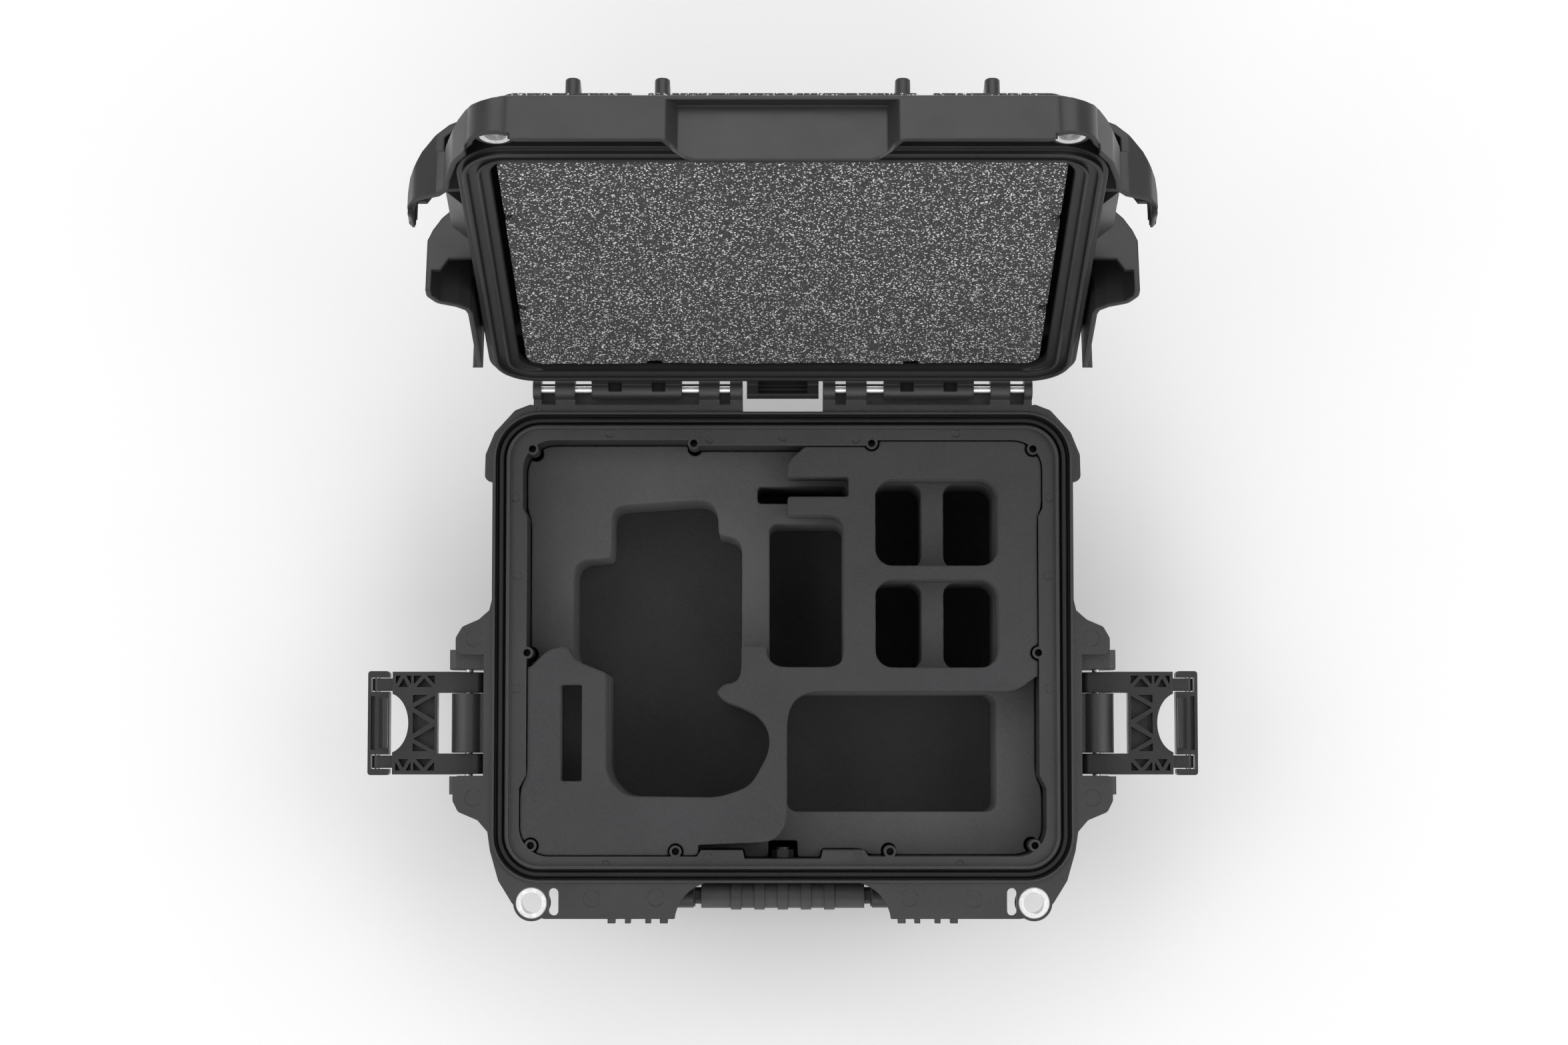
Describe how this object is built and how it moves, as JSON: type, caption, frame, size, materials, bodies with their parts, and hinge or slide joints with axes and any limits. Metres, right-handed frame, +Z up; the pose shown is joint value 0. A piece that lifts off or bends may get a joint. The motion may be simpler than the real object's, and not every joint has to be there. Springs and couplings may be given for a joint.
{
  "type": "hard equipment case",
  "caption": "Hinged hard plastic equipment case with layered cut-out foam, side latches, padlock eyelets and a folding carry handle.",
  "frame": {"origin": "centre of the base's underside, on the surface it stands on", "axes": "+Z up, +Y from the handle to the hinge, +X to the right seen from the handle"},
  "size_m": [0.3962, 0.3644, 0.3504],
  "materials": {
    "case_plastic": "matte",
    "lid_plastic": "matte",
    "latch_plastic": "matte",
    "handle_plastic": "matte",
    "valve_plastic": "satin",
    "grip_rubber": "matte",
    "seal_rubber": "satin",
    "foam_floor": "matte",
    "foam_mid": "matte",
    "foam_top": "matte",
    "foam_lid": "matte",
    "steel": "satin"
  },
  "bodies": {
    "base": {"base_shell": "case_plastic", "gasket": "seal_rubber", "foam_bottom_sheet": "foam_floor", "foam_mid_layer": "foam_mid", "foam_top_layer": "foam_top", "padlock_eyelet_left": "steel", "padlock_eyelet_right": "steel", "hinge_pin_left": "steel", "hinge_pin_right": "steel", "latch_pin_left": "steel", "latch_pin_right": "steel", "handle_pin_left": "steel", "handle_pin_right": "steel", "pressure_valve": "valve_plastic", "valve_seal": "seal_rubber", "valve_nut": "valve_plastic"},
    "lid": {"lid_shell": "lid_plastic", "lid_foam": "foam_lid", "lid_eyelet_left": "steel", "lid_eyelet_right": "steel"},
    "handle": {"handle_bail": "handle_plastic", "handle_grip": "grip_rubber"},
    "latch_left": {"latch_lever_left": "latch_plastic", "claw_pin_left": "steel"},
    "latch_right": {"latch_lever_right": "latch_plastic", "claw_pin_right": "steel"},
    "claw_left": {"latch_claw_left": "latch_plastic"},
    "claw_right": {"latch_claw_right": "latch_plastic"}
  },
  "joints": [
    {"name": "lid_hinge", "type": "hinge", "parent": "base", "child": "lid", "pos_m": [0, 0.122, 0.108], "axis": [1, 0, 0], "range_deg": [0, 109]},
    {"name": "handle_pivot", "type": "hinge", "parent": "base", "child": "handle", "pos_m": [0, -0.119, 0.086], "axis": [-1, 0, 0], "range_deg": [0, 90]},
    {"name": "latch_left_pivot", "type": "hinge", "parent": "base", "child": "latch_left", "pos_m": [-0.15, -0.036, 0.086], "axis": [0, 1, 0], "range_deg": [0, 90]},
    {"name": "latch_right_pivot", "type": "hinge", "parent": "base", "child": "latch_right", "pos_m": [0.15, -0.036, 0.086], "axis": [0, -1, 0], "range_deg": [0, 90]},
    {"name": "claw_left_release", "type": "hinge", "parent": "latch_left", "child": "claw_left", "pos_m": [-0.1939, -0.036, 0.085], "axis": [0, -1, 0], "range_deg": [0, 10]},
    {"name": "claw_right_release", "type": "hinge", "parent": "latch_right", "child": "claw_right", "pos_m": [0.1939, -0.036, 0.085], "axis": [0, 1, 0], "range_deg": [0, 10]}
  ]
}
